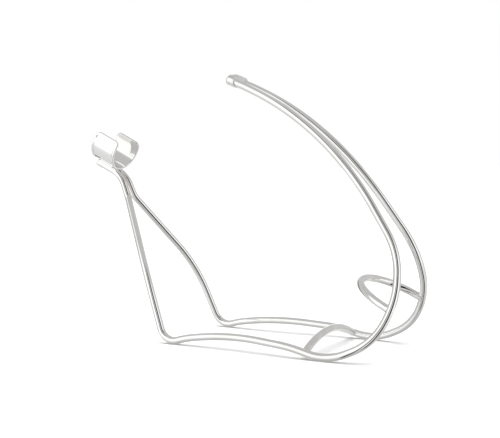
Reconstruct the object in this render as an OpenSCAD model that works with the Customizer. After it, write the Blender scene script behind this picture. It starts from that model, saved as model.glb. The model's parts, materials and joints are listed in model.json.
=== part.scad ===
// Wine rack for one lying 750 ml bottle, bent from polished round rod
//
// +X runs from the bottle's mouth to its base, and +Z is up. The origin is on the table,
// under the middle of the rack, and the two sides are mirror images across Y = 0.
// Every height in the lists below is measured from the middle of the rods where they
// lie on the table, so that the rack stands on Z = 0 with any rod.

/* [Rod] */
// Diameter of the round rod
rod_d = 5.8; // [5.4:0.1:6]

/* [Bottle] */
// Slope of the lying bottle
bottle_slope = 26; // [25:0.5:27]

/* [Neck saddle] */
// Inner diameter of the saddle
saddle_bore = 30.5; // [30:0.5:31]
// Thickness of its sheet
saddle_wall = 1.5; // [1.2:0.1:1.6]
// Length along the bottle's neck
saddle_length = 25; // [22:0.5:27]
// Angle that its sheet wraps around the neck
saddle_wrap = 240; // [220:5:250]
// Radius of the corners at its two free edges
saddle_corner = 4.5; // [3:0.5:5]
// Distance between the two rods under it, centre to centre
saddle_rods = 7; // [6.5:0.5:8]

/* [Handle] */
// Distance between the two rods of the handle, centre to centre
handle_rods = 17; // [16:0.5:18]
// Thickness of the cap over the end of each rod
cap_height = 8.2; // [7.8:0.1:8.6]
// Thickness of the cap at its middle
cap_crown = 9.2; // [9:0.1:9.8]
// Length of the cap
cap_length = 8.1; // [7.5:0.1:9]
// Radius of the rounding at its nose
cap_nose = 2.2; // [1.8:0.1:2.6]
// Depth of the cap's two sockets
socket_depth = 4.5; // [3:0.5:5]

/* [Heel bar] */
// Place of the bar along the rack
heel_x = 76; // [75:0.5:77]
// Radius of its arch
heel_radius = 108; // [105:1:112]
// Height of its crown
heel_rise = 12; // [11.5:0.5:13]

/* [Punt loop] */
// Radius of the loop's round end
loop_radius = 35; // [34:0.5:36]
// Slope of the loop's plane
loop_slope = 27; // [25:0.5:28]
// Angle by which its legs spread
loop_spread = 6; // [4:1:8]

/* [Hidden] */
rod_r = rod_d / 2;
round_facets = 48;
bend_facets = 240;
// How the straight lengths run into the bends
lap = 1.2;
neck = 0.1;
hair = 0.03;
fade = 0.25;
// How far a cut runs past what it cuts
margin = 1;
// How far the cap's dome stands proud of its round sides
lip = 0.12;
// How far the middle of the cap lies above the middle of the rods
cap_lift = 0.4;
plate = "silver";

// Saddle: its middle, and its two directions, towards the mouth and downwards
saddle_x = -125;
saddle_z = 154;
to_mouth = [-cos(bottle_slope), 0, sin(bottle_slope)];
to_rods = [-sin(bottle_slope), 0, -cos(bottle_slope)];
saddle_r = saddle_bore / 2;
saddle_outer = saddle_r + saddle_wall;
// The rods are let into the back of the sheet by this much
seat = 0.2;
rod_reach = saddle_outer + rod_r - seat;
rod_drop = sqrt(pow(rod_reach, 2) - pow(saddle_rods / 2, 2));
under_saddle = [saddle_x, saddle_rods / 2, saddle_z] + rod_drop * to_rods;
// Their ends, and the corner where they turn down, measured from the saddle's middle
tip_reach = 8;
turn_reach = 18.5;
rod_tip = under_saddle + tip_reach * to_mouth;
rod_turn = under_saddle - turn_reach * to_mouth;

// Corners of one side rod from the saddle to the handle, as X, Y, Z and bend radius
side_corners = [
    concat(rod_tip, 0),
    concat(rod_turn, 24),
    // front leg, which spreads from under the saddle
    [-109, 5, 110.5, 12],
    [-68, 38, 50.5, 130],
    // front foot
    [-46.5, 44.5, -2.75, 13],
    // runner along the table
    [-26.5, 43, 3, 85],
    [10.5, 42, 8.5, 220],
    [64, 47, 5, 100],
    // rear foot
    [94.5, 47.5, -2.5, 45],
    [128.5, 43.5, 13.2, 44],
    // back bend, which closes in towards the handle
    [141.3, 34, 43.5, 60],
    [137.5, 20, 76, 65],
    [104.5, 12, 124.5, 230],
    // handle
    [57.5, handle_rods / 2, 175.5, 240],
    [6, handle_rods / 2, 199.4, 60],
    [-6.5, handle_rods / 2, 204.5, 0]
];

// How far the heel bar's arch runs to each side, before it is cut to fit the rods
heel_reach = 46;

// Middle of the loop's arc, and the length of its straight legs
loop_x = 135;
loop_z = 37;
loop_leg_length = 6.5;

function place(corners, i) = [corners[i].x, corners[i].y, corners[i].z + rod_r];
function unit(v) = v / norm(v);
function heading(corners, i) = unit(place(corners, i + 1) - place(corners, i));
function turn(corners, i) = acos(heading(corners, i - 1) * heading(corners, i));
function is_end(corners, i) = i == 0 || i == len(corners) - 1;
// Length of straight rod that the bend at a corner takes away on each side of it
function cut(corners, i) = is_end(corners, i) ? 0 : corners[i][3] * tan(turn(corners, i) / 2);

module bend(corners, i) {
    ahead = heading(corners, i - 1);
    next = heading(corners, i);
    inward = unit(next - (ahead * next) * ahead);
    side = cross(ahead, inward);
    radius = corners[i][3];
    middle = place(corners, i) - cut(corners, i) * ahead + radius * inward;
    multmatrix([
        [-inward.x, ahead.x, side.x, middle.x],
        [-inward.y, ahead.y, side.y, middle.y],
        [-inward.z, ahead.z, side.z, middle.z],
        [0, 0, 0, 1]
    ])
        rotate_extrude(angle = turn(corners, i), $fn = bend_facets)
            translate([radius, 0])
                circle(r = rod_r, $fn = round_facets);
}

// Straight rod along +Z from Z = 0. An end that joins a bend runs a short way into it,
// and swells by a hair where they meet, so that their surfaces cross cleanly.
module joined_length(length, joins_below, joins_above) {
    below = joins_below ? 1 : 0;
    above = joins_above ? 1 : 0;
    rotate_extrude($fn = round_facets)
        polygon([
            [0, -lap * below],
            [rod_r - neck * below, -lap * below],
            [rod_r + hair * below, 0],
            [rod_r, fade * below],
            [rod_r, length - fade * above],
            [rod_r + hair * above, length],
            [rod_r - neck * above, length + lap * above],
            [0, length + lap * above]
        ]);
}

module straight(corners, i) {
    ahead = heading(corners, i);
    span = norm(place(corners, i + 1) - place(corners, i));
    length = span - cut(corners, i) - cut(corners, i + 1);
    translate(place(corners, i) + cut(corners, i) * ahead)
        rotate([0, acos(ahead.z), atan2(ahead.y, ahead.x)])
            joined_length(length, !is_end(corners, i), !is_end(corners, i + 1));
}

module side_rod() {
    last = len(side_corners) - 1;
    for (i = [0 : last - 1]) straight(side_corners, i);
    for (i = [1 : last - 1]) bend(side_corners, i);
}

module far_side_rod() {
    color(plate) side_rod();
}

module near_side_rod() {
    color(plate) mirror([0, 1, 0]) side_rod();
}

module both_rods() {
    side_rod();
    mirror([0, 1, 0]) side_rod();
}

// Waste that is cut off each corner of the saddle's free edges
module corner_waste() {
    edge = (saddle_r + saddle_wall / 2) * -cos(saddle_wrap / 2);
    rotate([90, 0, 0])
        translate([saddle_length / 2 - saddle_corner, edge - saddle_corner, -saddle_outer - margin])
            linear_extrude(2 * (saddle_outer + margin))
                difference() {
                    square(saddle_corner + margin);
                    circle(r = saddle_corner, $fn = round_facets);
                }
}

// Bent sheet, with its axis along +X and its opening upwards
module saddle_sheet() {
    difference() {
        rotate([0, 90, 0])
            rotate([0, 0, -saddle_wrap / 2])
                rotate_extrude(angle = saddle_wrap, $fn = bend_facets)
                    translate([saddle_r, -saddle_length / 2])
                        square([saddle_wall, saddle_length]);
        corner_waste();
        mirror([1, 0, 0]) corner_waste();
    }
}

module neck_saddle() {
    color(plate)
        difference() {
            translate([saddle_x, 0, saddle_z + rod_r])
                rotate([0, bottle_slope, 0])
                    saddle_sheet();
            both_rods();
        }
}

// Arched bar that carries the heel of the bottle, coped onto the two side rods
module heel_bar() {
    half_angle = asin(heel_reach / heel_radius);
    color(plate)
        difference() {
            translate([heel_x, 0, heel_rise - heel_radius + rod_r])
                rotate([90, 0, 90])
                    rotate([0, 0, 90 - half_angle])
                        rotate_extrude(angle = 2 * half_angle, $fn = bend_facets)
                            translate([heel_radius, 0])
                                circle(r = rod_r, $fn = round_facets);
            both_rods();
        }
}

// One straight leg of the loop, which runs on from the end of its arc
module loop_leg() {
    rotate([0, 0, loop_spread])
        translate([0, loop_radius, 0])
            rotate([0, 90, 0])
                joined_length(loop_leg_length, true, false);
}

// Loop that reaches into the hollow base of the bottle, coped onto the two side rods
module punt_loop() {
    half_arc = 90 - loop_spread;
    color(plate)
        difference() {
            translate([loop_x, 0, loop_z + rod_r])
                rotate([0, loop_slope, 0]) {
                    rotate([0, 0, 180 - half_arc])
                        rotate_extrude(angle = 2 * half_arc, $fn = bend_facets)
                            translate([loop_radius, 0])
                                circle(r = rod_r, $fn = round_facets);
                    loop_leg();
                    mirror([0, 1, 0]) loop_leg();
                }
            both_rods();
        }
}

// Outline of the cap as seen along the handle: a round side over each rod, a flat underside
// between them, and a low dome on top that stands a hair proud of the sides
module cap_outline() {
    radius = cap_height / 2;
    spread = handle_rods / 2;
    apex = cap_crown - radius;
    swell = apex - radius - lip;
    dome_r = (spread * spread + swell * swell) / (2 * swell);
    for (side = [-1, 1])
        translate([0, side * spread])
            circle(r = radius, $fn = round_facets);
    square([cap_height, handle_rods], center = true);
    intersection() {
        translate([apex - dome_r, 0])
            circle(r = dome_r, $fn = bend_facets);
        translate([0, -spread])
            square([apex + margin, handle_rods]);
    }
}

// Side view of the cap, which runs back past its rim to be cut there, with a rounded nose
module cap_profile() {
    low = -cap_height / 2 - hair;
    high = cap_crown - cap_height / 2 + hair;
    translate([low, -cap_height])
        square([high - low, cap_height + cap_length - cap_nose]);
    translate([low + cap_nose, 0])
        square([high - low - 2 * cap_nose, cap_length]);
    for (at = [low + cap_nose, high - cap_nose])
        translate([at, cap_length - cap_nose])
            circle(r = cap_nose, $fn = round_facets);
}

// Cap that joins the ends of the handle's two rods, with a socket for each. Its rim is
// upright, and the middle of the rim is the origin here.
module handle_cap() {
    last = len(side_corners) - 1;
    along = heading(side_corners, last - 1);
    tip = place(side_corners, last);
    rim = tip - socket_depth * along;
    spread = handle_rods / 2;
    waste = 2 * handle_rods;
    color(plate)
        translate([rim.x, 0, rim.z])
            difference() {
                rotate([0, atan2(along.x, along.z), 0])
                    difference() {
                        translate([cap_lift, 0, 0])
                            intersection() {
                                translate([0, 0, -cap_height])
                                    linear_extrude(cap_height + cap_length) cap_outline();
                                rotate([90, 0, 0])
                                    linear_extrude(waste, center = true) cap_profile();
                            }
                        for (side = [-1, 1])
                            translate([0, side * spread, -cap_height - margin])
                                cylinder(r = rod_r, h = cap_height + margin + socket_depth, $fn = round_facets);
                    }
                translate([0, -waste / 2, -waste / 2])
                    cube(waste);
            }
}

near_side_rod();
far_side_rod();
neck_saddle();
heel_bar();
punt_loop();
handle_cap();
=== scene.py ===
"""Looks of a wine rack bent from polished, silver-plated rod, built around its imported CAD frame.

Every piece is swept or lofted here at a finer grain than the CAD solid that it stands for, from the
same dimensions, in metres. +X runs from the bottle's mouth to its base, +Z is up, and the rack is its
own mirror image across Y = 0.
"""
import json
import math

import bmesh
import bpy
import numpy as np
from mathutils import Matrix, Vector


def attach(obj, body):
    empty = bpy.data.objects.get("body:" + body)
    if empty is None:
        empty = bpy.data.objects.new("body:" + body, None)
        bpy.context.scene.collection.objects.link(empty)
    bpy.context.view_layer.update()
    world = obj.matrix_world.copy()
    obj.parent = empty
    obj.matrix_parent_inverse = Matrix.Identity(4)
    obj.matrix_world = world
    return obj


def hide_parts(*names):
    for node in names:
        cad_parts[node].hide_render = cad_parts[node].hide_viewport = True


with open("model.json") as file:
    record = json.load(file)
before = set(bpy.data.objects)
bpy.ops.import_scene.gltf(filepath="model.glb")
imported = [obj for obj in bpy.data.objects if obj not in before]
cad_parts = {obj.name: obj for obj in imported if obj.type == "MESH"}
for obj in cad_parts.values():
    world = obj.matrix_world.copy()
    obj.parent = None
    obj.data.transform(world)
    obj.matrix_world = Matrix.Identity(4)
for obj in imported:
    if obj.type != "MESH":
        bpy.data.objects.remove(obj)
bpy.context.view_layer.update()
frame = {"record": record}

MOUNTS = {mount["name"]: mount for mount in frame["record"]["mounts"]}
ACROSS = np.array([0.0, 1.0, 0.0])
MM = 0.001

# ---------------------------------------------------------------- dimensions
ROD_R = 2.9 * MM
ROD_SIDES = 48
BRAZE = 0.9 * MM             # how far a braze fillet reaches from a joint

SADDLE_WALL = 1.5 * MM
SADDLE_WRAP = math.radians(240)
SADDLE_CORNER = 4.5 * MM
SADDLE_EDGE = 0.5 * MM       # rounding of the sheet's edges
BEAD_HEIGHT = 0.3 * MM       # bead pressed along the sheet's border
BEAD_WIDTH = 2.9 * MM
SADDLE_RODS = 7 * MM         # spacing of the two rods under the saddle
ROD_SEAT = 0.2 * MM          # how far the rods are let into the saddle's back
ROD_TIP = 8 * MM             # where the rods end, from the saddle's middle towards the mouth
ROD_TURN = 18.5 * MM         # where they turn down, on its other side

HANDLE_RODS = 17 * MM
CAP_HEIGHT = 8.2 * MM        # thickness of the cap over each rod
CAP_CROWN = 9.2 * MM         # thickness at the middle, under its dome
CAP_LIFT = 0.4 * MM          # its sides' middle lies above the middle of the rods
CAP_LENGTH = 8.1 * MM
CAP_NOSE = 2.4 * MM          # length of its rounded nose
CAP_RIM = 0.5 * MM           # rounding of its upright rim
SOCKET_DEPTH = 4.5 * MM

HEEL_R = 108 * MM            # bend radius of the heel bar
HEEL_REACH = 47.5 * MM       # past where its axis meets a side rod, from its crown
LOOP_R = 35 * MM
LOOP_REACH = 7.5 * MM        # of each leg of the loop, past the end of its bend
LOOP_SLOPE = math.radians(27)
LOOP_SPREAD = math.radians(6)
FACE_SHARES = (0.3, 0.6)      # rings across a rod's cut end, as shares of its radius
ROD_EDGE = 0.6 * MM          # rounding of a rod's cut end
STEP = 1.2 * MM              # spacing of the rings along a bend
BRAZE_END = 9 * MM           # how far a seat's braze runs past the saddle's middle, away from the mouth
BRAZE_TAPER = ((0, 0.2), (1, 0.8), (2, 1))   # at each end, in fillet sizes from it, and share of size

# ---------------------------------------------------------------- studio settings
# What the silver reflects, as strengths where 0 is black and 1 is white. Angles are in degrees.
WALL_LIGHT, CEILING_LIGHT = 0.62, 0.52
TABLE_FAR, TABLE_NEAR = 0.85, 0.46
TABLE_EDGE = -17             # elevation at which the table's far edge is reflected
# Direction, inner and outer half width, and amount
BACKDROP = ((-0.471, 0.879, -0.064), 18, 26, 1.0)
DARK_CORNER = ((-0.77, 0.64, -0.06), 24, 28, 0.25)   # unlit part of the room, left of the backdrop
# Azimuth as X, Y; inner and outer half width; lowest and highest elevation; softness; amount
SOFTBOXES = [
    ((-0.48, -0.88, 0), 28, 36, TABLE_EDGE, 38, 14, 1.12),
    ((1.0, 0.0, 0), 12, 20, TABLE_EDGE, 35, 15, 1.08),
    ((0.743, -0.666, 0), 13, 17, -60, 50, 15, 0.02),
    ((0.03, -1.0, 0), 4, 8, -60, 50, 15, 0.06),
]
EDGE_SOFTNESS = 0.02         # half width of a sharp edge, in the sine of its elevation
SUN_ENERGY = 2.6
SUN_ANGLE = math.radians(70)
FLOOR_R = 12

CAMERA_PLACE = (0.3684, -0.6762, 0.1473)
CAMERA_AIM = (0.006, 0, 0.09775)
CAMERA_LENS = 69.2           # millimetres, on a sensor 36 mm wide


# ---------------------------------------------------------------- small helpers
def unit(v):
    """The vector at length 1."""
    return v / np.linalg.norm(v)


def mirrored(points):
    """The points on the other side of Y = 0."""
    return points * np.array([1.0, -1.0, 1.0])


def new_object(name, verts, faces, nodes=()):
    """A smooth-shaded piece that rides on the rack and stands for the CAD nodes named."""
    mesh = bpy.data.meshes.new(name)
    mesh.from_pydata([tuple(v) for v in verts], [], faces)
    mesh.validate()
    mesh.shade_smooth()
    piece = bpy.data.objects.new(name, mesh)
    bpy.context.scene.collection.objects.link(piece)
    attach(piece, "root")
    if nodes:
        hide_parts(*nodes)
    return piece


def weld(piece):
    """Merge the points that fall together, and drop the faces that this flattens."""
    mesh = bmesh.new()
    mesh.from_mesh(piece.data)
    bmesh.ops.remove_doubles(mesh, verts=mesh.verts, dist=0.001 * MM)
    bmesh.ops.recalc_face_normals(mesh, faces=mesh.faces)
    mesh.to_mesh(piece.data)
    mesh.free()
    piece.data.shade_smooth()


def ring_faces(first, second, count):
    """Quads between two closed rings of vertices."""
    return [
        (first + j, first + (j + 1) % count, second + (j + 1) % count, second + j)
        for j in range(count)
    ]


def loft(rings, closed_ends=True):
    """Vertices and faces of a skin over rings of equal count, with a point at each end."""
    count = len(rings[0])
    verts = [p for ring in rings for p in ring]
    faces = []
    for k in range(len(rings) - 1):
        faces += ring_faces(k * count, (k + 1) * count, count)
    if closed_ends:
        for at, flip in ((0, False), ((len(rings) - 1) * count, True)):
            tip = len(verts)
            verts.append(np.mean(verts[at : at + count], axis=0))
            for j in range(count):
                a, b = at + j, at + (j + 1) % count
                faces.append((tip, a, b) if flip else (tip, b, a))
    return verts, faces


# ---------------------------------------------------------------- rod centrelines
def rounded_path(corners):
    """Points and directions along straight rod with a bend of the given radius at each corner."""
    places = [np.array(c[:3]) for c in corners]
    headings = [unit(b - a) for a, b in zip(places, places[1:])]
    points, directions = [places[0]], [headings[0]]

    def run_to(end, heading):
        start = points[-1]
        count = max(1, math.ceil(np.linalg.norm(end - start) / (3 * STEP)))
        for i in range(1, count + 1):
            points.append(start + (end - start) * i / count)
            directions.append(heading)

    for i in range(1, len(corners) - 1):
        ahead, after, radius = headings[i - 1], headings[i], corners[i][3]
        angle = math.acos(np.clip(ahead @ after, -1, 1))
        cut = radius * math.tan(angle / 2)
        inward = unit(after - (ahead @ after) * ahead)
        start = places[i] - cut * ahead
        middle = start + radius * inward
        run_to(start, ahead)
        count = max(3, math.ceil(radius * angle / STEP), math.ceil(math.degrees(angle) / 4))
        for t in np.linspace(0, angle, count + 1)[1:]:
            points.append(middle - radius * inward * math.cos(t) + radius * ahead * math.sin(t))
            directions.append(ahead * math.cos(t) + inward * math.sin(t))
    run_to(places[-1], headings[-1])
    return np.array(points), np.array(directions)


def carried_normals(directions, first):
    """Normals along a path that turn no more than the path does."""
    normals = [unit(first - (first @ directions[0]) * directions[0])]
    for d in directions[1:]:
        n = normals[-1] - (normals[-1] @ d) * d
        normals.append(unit(n))
    return np.array(normals)


def side_corners():
    """Corners of the far side rod, as X, Y, Z and bend radius, from the saddle to the handle."""
    rest = MOUNTS["neck_rest"]
    to_mouth = unit(np.array(rest["axis"]))
    down = np.cross(to_mouth, ACROSS)
    outer = rest["dims"]["r_mm"] * MM + SADDLE_WALL
    drop = math.sqrt((outer + ROD_R - ROD_SEAT) ** 2 - (SADDLE_RODS / 2) ** 2)
    under = np.array(rest["pos_m"]) + drop * down + SADDLE_RODS / 2 * ACROSS
    handle = HANDLE_RODS / 2
    return [
        (*(under + ROD_TIP * to_mouth), 0),
        (*(under - ROD_TURN * to_mouth), 0.024),
        # front leg
        (-0.109, 0.005, 0.1134, 0.012),
        (-0.068, 0.038, 0.0534, 0.130),
        # front foot
        (-0.0465, 0.0445, 0.00015, 0.013),
        # runner along the table
        (-0.0265, 0.043, 0.0059, 0.085),
        (0.0105, 0.042, 0.0114, 0.220),
        (0.064, 0.047, 0.0079, 0.100),
        # rear foot
        (0.0945, 0.0475, 0.0004, 0.045),
        (0.1285, 0.0435, 0.0161, 0.044),
        # back bend
        (0.1413, 0.034, 0.0464, 0.060),
        (0.1375, 0.020, 0.0789, 0.065),
        (0.1045, 0.012, 0.1274, 0.230),
        # handle
        (0.0575, handle, 0.1784, 0.240),
        (0.006, handle, 0.2023, 0.060),
        (-0.0065, handle, 0.2074, 0),
    ]


CORNERS = side_corners()
ROD_LINE, ROD_HEADINGS = rounded_path(CORNERS)


def nearest_on_rod(point):
    """Nearest point on the far side rod's centreline."""
    a, b = ROD_LINE[:-1], ROD_LINE[1:]
    ab = b - a
    t = np.clip(np.sum((point - a) * ab, axis=1) / np.sum(ab * ab, axis=1), 0, 1)
    near = a + t[:, None] * ab
    return near[np.argmin(np.linalg.norm(near - point, axis=1))]


# ---------------------------------------------------------------- side rods
def end_profile(radius, edge, steps=5):
    """Radius and setback of the rings that round off a rod's cut end, from its face outwards."""
    face = [(radius * share, 0.0) for share in FACE_SHARES]
    angles = np.linspace(0, math.pi / 2, steps)
    return face + [(radius - edge + edge * math.sin(t), edge * (1 - math.cos(t))) for t in angles]


def side_rod(name, node, flip):
    """One side rod, swept along the far rod's line, and mirrored for the near one."""
    points, headings = ROD_LINE, ROD_HEADINGS
    normals = carried_normals(headings, ACROSS)
    turns = np.linspace(0, 2 * math.pi, ROD_SIDES, endpoint=False)

    def ring(k, radius, setback=0.0):
        n, d = normals[k], headings[k]
        b = np.cross(d, n)
        middle = points[k] + setback * d
        return [middle + radius * (math.cos(t) * n + math.sin(t) * b) for t in turns]

    cut_end = end_profile(ROD_R, ROD_EDGE)
    rings = [ring(0, r, back) for r, back in cut_end]
    rings += [ring(k, ROD_R) for k in range(1, len(points) - 1)]
    rings += [ring(-1, r, -back) for r, back in reversed(cut_end)]
    verts, faces = loft(rings)
    if flip:
        verts = [mirrored(v) for v in verts]
        faces = [tuple(reversed(f)) for f in faces]
    return new_object(name, verts, faces, [node])


# ---------------------------------------------------------------- bars joined to the side rods
def heel_line(s):
    """Point and direction on the arched heel bar, s along it from its crown."""
    crown = np.array(MOUNTS["heel_rest"]["pos_m"]) - np.array([0, 0, ROD_R])
    middle = crown - np.array([0, 0, HEEL_R])
    a = s / HEEL_R
    out = np.array([0, math.sin(a), math.cos(a)])
    return middle + HEEL_R * out, np.array([0, math.cos(a), -math.sin(a)])


def loop_line(s):
    """Point and direction on the punt loop, s along it from its nose."""
    nose = np.array(MOUNTS["punt_hold"]["pos_m"])
    back = np.array([math.cos(LOOP_SLOPE), 0, -math.sin(LOOP_SLOPE)])
    middle = nose + LOOP_R * back
    arc = math.pi / 2 - LOOP_SPREAD
    a = min(s / LOOP_R, arc)
    point = middle + LOOP_R * (-math.cos(a) * back + math.sin(a) * ACROSS)
    heading = math.sin(a) * back + math.cos(a) * ACROSS
    return point + max(0.0, s - LOOP_R * arc) * heading, heading


def joined_bar(name, node, line, plane, longest):
    """A bar that is the same on both sides of Y = 0 and flares into a braze fillet at each side rod."""
    turns = np.linspace(0, 2 * math.pi, ROD_SIDES, endpoint=False)

    def surface(s, t):
        point, heading = line(s)
        side = np.cross(heading, plane)
        return point + ROD_R * (math.cos(t) * plane + math.sin(t) * side)

    def meeting(t):
        """Where the line along the bar's surface at turn t runs into the side rod."""
        low, high = longest - 3 * ROD_R, longest
        for _ in range(30):
            mid = (low + high) / 2
            p = surface(mid, t)
            if np.linalg.norm(p - nearest_on_rod(p)) > ROD_R:
                low = mid
            else:
                high = mid
        return (low + high) / 2

    meets = [meeting(t) for t in turns]
    plain = min(meets) - 4 * BRAZE
    count = math.ceil(plain / STEP)
    half = [[surface(plain * k / count, t) for t in turns] for k in range(count + 1)]
    for share in np.linspace(0, 1, 8)[1:]:
        half.append([surface(plain + (m - BRAZE - plain) * share, t) for m, t in zip(meets, turns)])

    fillets = []
    for m, t in zip(meets, turns):
        start, corner = surface(m - BRAZE, t), surface(m, t)
        point, heading = line(m)
        outward = unit(corner - point)
        normal = unit(corner - nearest_on_rod(corner))
        along = (outward - (outward @ normal) * normal) + (heading - (heading @ normal) * normal)
        foot = corner + BRAZE * unit(along)
        near = nearest_on_rod(foot)
        fillets.append((start, corner, near + (ROD_R - 0.01 * MM) * unit(foot - near)))
    for u in np.linspace(0, 1, 8)[1:]:
        half.append([(1 - u) ** 2 * a + 2 * u * (1 - u) * b + u**2 * c for a, b, c in fillets])
    end = nearest_on_rod(line(float(np.mean(meets)))[0])
    half.append([end + 0.2 * (p - end) for p in half[-1]])

    # Turn t on one side is turn -t on the other, because the mirror turns the ring round.
    other = [[mirrored(p) for p in ring] for ring in reversed(half[1:])]
    flipped = np.allclose(mirrored(np.array(half[0])), np.array(half[0]))
    if not flipped:
        other = [[ring[-j % ROD_SIDES] for j in range(ROD_SIDES)] for ring in other]
    verts, faces = loft(other + half)
    return new_object(name, verts, faces, [node])


# ---------------------------------------------------------------- neck saddle
def saddle_axes():
    """The saddle's middle, and its directions towards the mouth and down to the rods."""
    rest = MOUNTS["neck_rest"]
    to_mouth = unit(np.array(rest["axis"]))
    return np.array(rest["pos_m"]), to_mouth, np.cross(to_mouth, ACROSS)


def flat_sheet(inset, rows=36, columns=96):
    """Grid over the sheet laid flat, smaller by the inset all round and with rounded corners."""
    radius = MOUNTS["neck_rest"]["dims"]["r_mm"] * MM + SADDLE_WALL / 2
    half_long = radius * SADDLE_WRAP / 2 - inset
    half_short = MOUNTS["neck_rest"]["dims"]["length_mm"] * MM / 2 - inset
    corner = SADDLE_CORNER - inset
    straight = half_short - corner
    bend = [straight + corner * math.sin(t) for t in np.linspace(0, math.pi / 2, 11)]
    middle = np.linspace(-straight, straight, rows - 2 * len(bend) + 2)
    lines = [-y for y in reversed(bend)] + list(middle[1:-1]) + bend
    grid = []
    for y in lines:
        into_corner = max(0.0, abs(y) - straight)
        reach = half_long - corner + math.sqrt(max(0.0, corner**2 - into_corner**2))
        grid.append([(x, y) for x in np.linspace(-reach, reach, columns)])
    return np.array(grid)


def border(rows, columns):
    """Row and column of each grid point round the border, in order."""
    first = [(0, j) for j in range(columns)]
    right = [(i, columns - 1) for i in range(1, rows)]
    last = [(rows - 1, j) for j in range(columns - 2, -1, -1)]
    left = [(i, 0) for i in range(rows - 2, 0, -1)]
    return first + right + last + left


def neck_saddle():
    """Bent sheet with rounded corners and edges, and a raised bead along its border outside."""
    centre, to_mouth, down = saddle_axes()
    mean_r = MOUNTS["neck_rest"]["dims"]["r_mm"] * MM + SADDLE_WALL / 2
    half_wall = SADDLE_WALL / 2

    def place(flat, offset):
        angle = flat[..., 0] / mean_r
        out = np.multiply.outer(np.cos(angle), down) + np.multiply.outer(np.sin(angle), ACROSS)
        return centre + np.multiply.outer(flat[..., 1], to_mouth) + (mean_r + offset) * out

    inner = flat_sheet(BEAD_WIDTH)
    rows, columns = inner.shape[:2]
    edge_cells = border(rows, columns)
    profile = []
    for t in np.linspace(0, 1, 8)[:-1]:
        inset = BEAD_WIDTH + (SADDLE_EDGE - BEAD_WIDTH) * t
        profile.append((inset, half_wall + BEAD_HEIGHT * math.sin(math.pi / 2 * min(1, 1.5 * t)) ** 2))
    top = half_wall + BEAD_HEIGHT
    for t in np.linspace(0, math.pi / 2, 6):
        profile.append((SADDLE_EDGE * (1 - math.sin(t)), top - SADDLE_EDGE * (1 - math.cos(t))))
    for t in np.linspace(math.pi / 2, 0, 6):
        profile.append((SADDLE_EDGE * (1 - math.sin(t)), SADDLE_EDGE * (1 - math.cos(t)) - half_wall))

    verts = [p for row in place(inner, half_wall) for p in row]
    loops = [[i * columns + j for i, j in edge_cells]]
    for inset, offset in profile[1:]:
        flat = flat_sheet(inset)
        ring = place(np.array([flat[i, j] for i, j in edge_cells]), offset)
        loops.append(list(range(len(verts), len(verts) + len(ring))))
        verts += list(ring)
    under = len(verts)
    verts += [p for row in place(inner, -half_wall) for p in row]
    loops.append([under + i * columns + j for i, j in edge_cells])

    faces = []
    for i in range(rows - 1):
        for j in range(columns - 1):
            a = i * columns + j
            quad = (a, a + 1, a + columns + 1, a + columns)
            faces.append(quad)
            faces.append(tuple(under + k for k in reversed(quad)))
    count = len(edge_cells)
    for near, far in zip(loops, loops[1:]):
        for k in range(count):
            following = (k + 1) % count
            faces.append((near[following], near[k], far[k], far[following]))
    return new_object("saddle_sheet", verts, faces, ["neck_saddle"])


def fillet_section(rod, outer, size, away_side):
    """Outline of braze between the round back of the saddle and a rod, in the plane across both."""
    span = np.linalg.norm(rod)
    axis = rod / span
    sideways = np.array([-axis[1], axis[0]]) * away_side
    # Middle of the hollow arc that touches both
    along = ((outer + size) ** 2 - (ROD_R + size) ** 2 + span**2) / (2 * span)
    middle = along * axis + math.sqrt((outer + size) ** 2 - along**2) * sideways
    to_saddle, to_rod = -unit(middle), unit(rod - middle)
    arc = [middle + size * unit((1 - u) * to_saddle + u * to_rod) for u in np.linspace(0, 1, 9)]
    return arc + [axis * (outer - ROD_SEAT / 2)]


def seat_braze(name, side):
    """Braze along both sides of one rod where it lies under the saddle."""
    centre, to_mouth, down = saddle_axes()
    outer = MOUNTS["neck_rest"]["dims"]["r_mm"] * MM + SADDLE_WALL
    y = side * SADDLE_RODS / 2
    rod = np.array([y, math.sqrt((outer + ROD_R - ROD_SEAT) ** 2 - y**2)])
    first, last = -BRAZE_END, ROD_TIP - 1 * MM
    stations = [(first + steps * BRAZE, share) for steps, share in BRAZE_TAPER]
    stations += [(last - steps * BRAZE, share) for steps, share in reversed(BRAZE_TAPER)]
    verts, faces = [], []
    for away_side in (1, -1):
        facing_gap = away_side * side > 0
        widest = BRAZE * (0.5 if facing_gap else 1)
        rings = []
        for s, share in stations:
            section = fillet_section(rod, outer, widest * share, away_side)
            rings.append([centre + s * to_mouth + a * ACROSS + b * down for a, b in section])
        strip_verts, strip_faces = loft(rings)
        faces += [tuple(i + len(verts) for i in face) for face in strip_faces]
        verts += strip_verts
    piece = new_object(name, verts, faces)
    weld(piece)
    return piece


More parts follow.
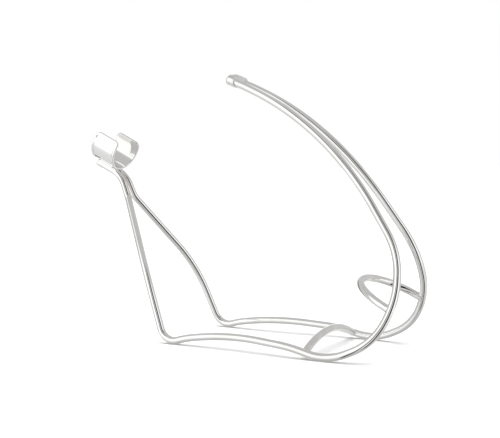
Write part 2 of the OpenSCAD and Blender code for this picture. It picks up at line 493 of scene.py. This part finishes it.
# ---------------------------------------------------------------- handle cap
def handle_cap():
    """Block that joins the handle's rods: upright rim, straight body and rounded nose."""
    tip = np.array(CORNERS[-1][:3])
    along = unit(tip - np.array(CORNERS[-2][:3]))
    up = np.cross(ACROSS, along)
    rim_middle = tip * np.array([1, 0, 1]) - SOCKET_DEPTH * along
    radius, spread = CAP_HEIGHT / 2, HANDLE_RODS / 2

    # Outline as seen along the handle: round sides, flat underside, and a low dome on top
    outline = []
    for side in (1, -1):
        for t in np.radians(np.linspace(-90, 90, 29)):
            outline.append((side * (spread + radius * math.cos(t)), side * radius * math.sin(t)))
        for y in np.linspace(side * spread, -side * spread, 20)[1:-1]:
            dome = (CAP_CROWN - CAP_HEIGHT) * (1 - (y / spread) ** 2) ** 2 if side > 0 else 0.0
            outline.append((y, side * radius + dome))
    y, z = np.array(outline).T
    flat = np.clip(y, -spread, spread)
    upright = -z * up[0] / along[0]

    def ring(depth, shrink, rim_share=0.0):
        """Outline at a depth; a rim share of 1 shears it into the upright plane of the rim."""
        depths = depth + rim_share * upright * shrink
        across, height = flat + (y - flat) * shrink, z * shrink
        middle = rim_middle + CAP_LIFT * up
        return list(middle + np.outer(depths, along) + np.outer(across, ACROSS) + np.outer(height, up))

    rings = [ring(0, shrink, 1) for shrink in (0, 0.5, 0.8)]
    inset = CAP_RIM / radius
    for t in np.linspace(0, math.pi / 2, 6):
        rings.append(ring(CAP_RIM * (1 - math.cos(t)), 1 - inset + inset * math.sin(t), 1))
    body = CAP_LENGTH - CAP_NOSE
    for share in np.linspace(0, 1, 8)[1:]:
        rings.append(ring(CAP_RIM + (body - CAP_RIM) * share, 1, 1 - share))
    for t in np.linspace(0, math.pi / 2, 18)[1:]:
        rings.append(ring(body + CAP_NOSE * math.sin(t), max(0.0, math.cos(t))))
    verts, faces = loft(rings, closed_ends=False)
    cap = new_object("cap_block", verts, faces, ["handle_cap"])
    weld(cap)
    return cap


# ---------------------------------------------------------------- node helpers
class Graph:
    """Adds nodes to a node tree. An input is given as a number, a colour or another node's output."""

    def __init__(self, tree):
        self.tree = tree

    def add(self, kind, inputs=None, **settings):
        """A new node of the kind, with its settings made and its inputs set or linked."""
        node = self.tree.nodes.new(kind)
        for name, value in settings.items():
            setattr(node, name, value)
        for name, value in (inputs or {}).items():
            if isinstance(value, bpy.types.NodeSocket):
                self.tree.links.new(value, node.inputs[name])
            else:
                node.inputs[name].default_value = value
        return node

    def maths(self, operation, *values, clamp=False):
        """One sum or product of numbers."""
        inputs = dict(enumerate(values))
        return self.add("ShaderNodeMath", inputs, operation=operation, use_clamp=clamp).outputs[0]

    def fade(self, value, low, high, to_low=0.0, to_high=1.0, smooth=True):
        """The value's way from low to high, as a number from to_low to to_high."""
        inputs = {"Value": value, "From Min": low, "From Max": high, "To Min": to_low, "To Max": to_high}
        interpolation = "SMOOTHSTEP" if smooth else "LINEAR"
        return self.add("ShaderNodeMapRange", inputs, interpolation_type=interpolation).outputs[0]

    def noise(self, place, scale, detail=2.0, roughness=0.5):
        """Smooth random number over space, about 0.5 on average."""
        inputs = {"Vector": place, "Scale": scale, "Detail": detail, "Roughness": roughness}
        return self.add("ShaderNodeTexNoise", inputs).outputs["Fac"]

    def mix(self, share, first, second):
        """Number that goes from the first to the second as the share goes from 0 to 1."""
        return self.add("ShaderNodeMix", {0: share, 2: first, 3: second}, data_type="FLOAT").outputs[0]


# ---------------------------------------------------------------- materials
def polished_silver(name, bright, tarnished, gloss, waviness):
    """Silver plate: faint tarnish in patches and corners, cloth scratches, and slow waves from bending."""
    material = bpy.data.materials.new(name)
    material.use_nodes = True
    graph = Graph(material.node_tree)
    shader = material.node_tree.nodes["Principled BSDF"]
    place = graph.add("ShaderNodeTexCoord").outputs["Object"]

    # Tarnish: broad cloudy patches, and what a cloth leaves in the corners of the joints
    patches = graph.fade(graph.noise(place, 38.0, 4.0, 0.6), 0.42, 0.72)
    corners = graph.add("ShaderNodeAmbientOcclusion", {"Distance": 3 * MM}, samples=8).outputs["AO"]
    in_corners = graph.fade(corners, 0.75, 0.25)
    tarnish = graph.maths("MAXIMUM", graph.maths("MULTIPLY", patches, 0.45), in_corners, clamp=True)
    colour = graph.add("ShaderNodeMix", {0: tarnish, 6: bright, 7: tarnished}, data_type="RGBA")

    # Fine scratches in two directions, from wiping
    scratches = None
    for turn, stretch in (((0.3, 0.5, 0.2), (1400, 60, 1400)), ((1.2, 0.1, 0.9), (50, 1200, 1200))):
        mapping = graph.add("ShaderNodeMapping", {"Vector": place, "Rotation": turn, "Scale": stretch})
        line = graph.fade(graph.noise(mapping.outputs[0], 1.0, 1.0), 0.66, 0.74)
        scratches = line if scratches is None else graph.maths("MAXIMUM", scratches, line)

    grain = graph.noise(place, 900.0, 2.0)
    rough = graph.fade(grain, 0.3, 0.7, gloss, gloss + 0.02, smooth=False)
    rough = graph.maths("ADD", rough, graph.maths("MULTIPLY", scratches, 0.05))
    rough = graph.maths("ADD", rough, graph.maths("MULTIPLY", tarnish, 0.05))

    # Slow waves of the surface, then the scratches, as heights in metres
    waves = graph.maths("MULTIPLY", graph.noise(place, 75.0, 1.0), waviness)
    cuts = graph.maths("MULTIPLY", scratches, -0.0015 * MM)
    relief = graph.maths("ADD", waves, cuts)
    bump = graph.add("ShaderNodeBump", {"Height": relief, "Strength": 1.0, "Distance": 1.0})

    shader.inputs["Metallic"].default_value = 1.0
    shader.inputs["Specular Tint"].default_value = (0.98, 0.98, 0.98, 1)
    graph.tree.links.new(colour.outputs[2], shader.inputs["Base Color"])
    graph.tree.links.new(rough, shader.inputs["Roughness"])
    graph.tree.links.new(bump.outputs[0], shader.inputs["Normal"])
    return material


def pale_floor():
    """Matt, nearly white."""
    material = bpy.data.materials.new("pale_floor")
    material.use_nodes = True
    shader = material.node_tree.nodes["Principled BSDF"]
    shader.inputs["Base Color"].default_value = (0.94, 0.94, 0.94, 1)
    shader.inputs["Roughness"].default_value = 1.0
    shader.inputs["Specular IOR Level"].default_value = 0.0
    return material


# ---------------------------------------------------------------- build
near = side_rod("near_rod", "near_side_rod", True)
far = side_rod("far_rod", "far_side_rod", False)
heel = joined_bar("heel_rod", "heel_bar", heel_line, np.array([1.0, 0, 0]), HEEL_REACH)
loop_plane = np.array([math.sin(LOOP_SLOPE), 0, math.cos(LOOP_SLOPE)])
loop_half = LOOP_R * (math.pi / 2 - LOOP_SPREAD) + LOOP_REACH
loop = joined_bar("loop_rod", "punt_loop", loop_line, loop_plane, loop_half)
saddle = neck_saddle()
brazes = [seat_braze("near_braze", -1), seat_braze("far_braze", 1)]
cap = handle_cap()

BRIGHT = (0.95, 0.945, 0.935, 1)
TARNISHED = (0.80, 0.77, 0.72, 1)
SHEET_BRIGHT = (0.96, 0.955, 0.945, 1)
SHEET_TARNISHED = (0.82, 0.79, 0.74, 1)
rod_silver = polished_silver("rod_silver", BRIGHT, TARNISHED, 0.02, 0.015 * MM)
sheet_silver = polished_silver("sheet_silver", SHEET_BRIGHT, SHEET_TARNISHED, 0.04, 0.02 * MM)
cap_silver = polished_silver("cap_silver", BRIGHT, TARNISHED, 0.04, 0.02 * MM)
for piece in (near, far, heel, loop, *brazes):
    piece.data.materials.append(rod_silver)
saddle.data.materials.append(sheet_silver)
cap.data.materials.append(cap_silver)


# ---------------------------------------------------------------- stage
def studio(world):
    """White camera background, and softboxes and grey walls for the silver to reflect."""
    world.use_nodes = True
    graph = Graph(world.node_tree)
    background = world.node_tree.nodes["Background"]
    direction = graph.add("ShaderNodeTexCoord").outputs["Generated"]
    height = graph.add("ShaderNodeSeparateXYZ", {0: direction}).outputs["Z"]
    flattened = graph.add("ShaderNodeVectorMath", {0: direction, 1: (1, 1, 0)}, operation="MULTIPLY")
    level = graph.add("ShaderNodeVectorMath", {0: flattened.outputs[0]}, operation="NORMALIZE").outputs[0]

    def near_to(vector, centre, inner, outer):
        """1 within the inner angle of a centre, and 0 past the outer angle."""
        centre = tuple(float(c) for c in unit(np.array(centre, dtype=float)))
        inputs = {0: vector, 1: centre}
        dot = graph.add("ShaderNodeVectorMath", inputs, operation="DOT_PRODUCT").outputs["Value"]
        return graph.fade(dot, math.cos(math.radians(outer)), math.cos(math.radians(inner)))

    def between(low, high, soft):
        """1 between two elevations, with soft edges of that many degrees, the lower one sharp."""
        bottom, top = math.sin(math.radians(low)), math.sin(math.radians(high))
        fall = math.sin(math.radians(high + soft))
        above = graph.fade(height, bottom - EDGE_SOFTNESS, bottom + EDGE_SOFTNESS)
        return graph.maths("MULTIPLY", above, graph.fade(height, fall, top))

    # Room: grey walls that darken towards the ceiling, and a table that darkens as it comes near
    walls = graph.fade(height, 0.0, 1.0, WALL_LIGHT, CEILING_LIGHT, smooth=False)
    table_edge = math.sin(math.radians(TABLE_EDGE))
    table = graph.fade(height, -1.0, table_edge, TABLE_NEAR, TABLE_FAR, smooth=False)
    over_edge = graph.fade(height, table_edge - EDGE_SOFTNESS, table_edge + EDGE_SOFTNESS)
    light = graph.mix(over_edge, table, walls)
    for centre, inner, outer, low, high, soft, amount in SOFTBOXES:
        window = graph.maths("MULTIPLY", near_to(level, centre, inner, outer), between(low, high, soft))
        light = graph.mix(window, light, amount)
    for centre, inner, outer, amount in (DARK_CORNER, BACKDROP):
        light = graph.mix(near_to(direction, centre, inner, outer), light, amount)

    camera_ray = graph.add("ShaderNodeLightPath").outputs["Is Camera Ray"]
    graph.tree.links.new(graph.mix(camera_ray, light, 1.0), background.inputs["Strength"])
    background.inputs["Color"].default_value = (1, 1, 1, 1)


studio_world = bpy.data.worlds.new("studio")
bpy.context.scene.world = studio_world
studio(studio_world)
bpy.context.scene.view_settings.view_transform = "Standard"

bpy.ops.mesh.primitive_circle_add(vertices=128, radius=FLOOR_R, fill_type="NGON")
floor = bpy.context.object
floor.name = "floor"
floor.visible_glossy = False
floor.data.materials.append(pale_floor())

# Wide overhead light that only the matt floor sees, for a faint soft shadow
overhead_data = bpy.data.lights.new("overhead", "SUN")
overhead_data.energy = SUN_ENERGY
overhead_data.angle = SUN_ANGLE
overhead = bpy.data.objects.new("overhead", overhead_data)
overhead.visible_glossy = False
bpy.context.scene.collection.objects.link(overhead)

camera_data = bpy.data.cameras.new("camera")
camera_data.lens = CAMERA_LENS
camera_data.sensor_width = 36
camera = bpy.data.objects.new("camera", camera_data)
bpy.context.scene.collection.objects.link(camera)
camera.location = CAMERA_PLACE
aim = Vector(CAMERA_AIM) - camera.location
camera.rotation_euler = aim.to_track_quat("-Z", "Y").to_euler()
bpy.context.scene.camera = camera
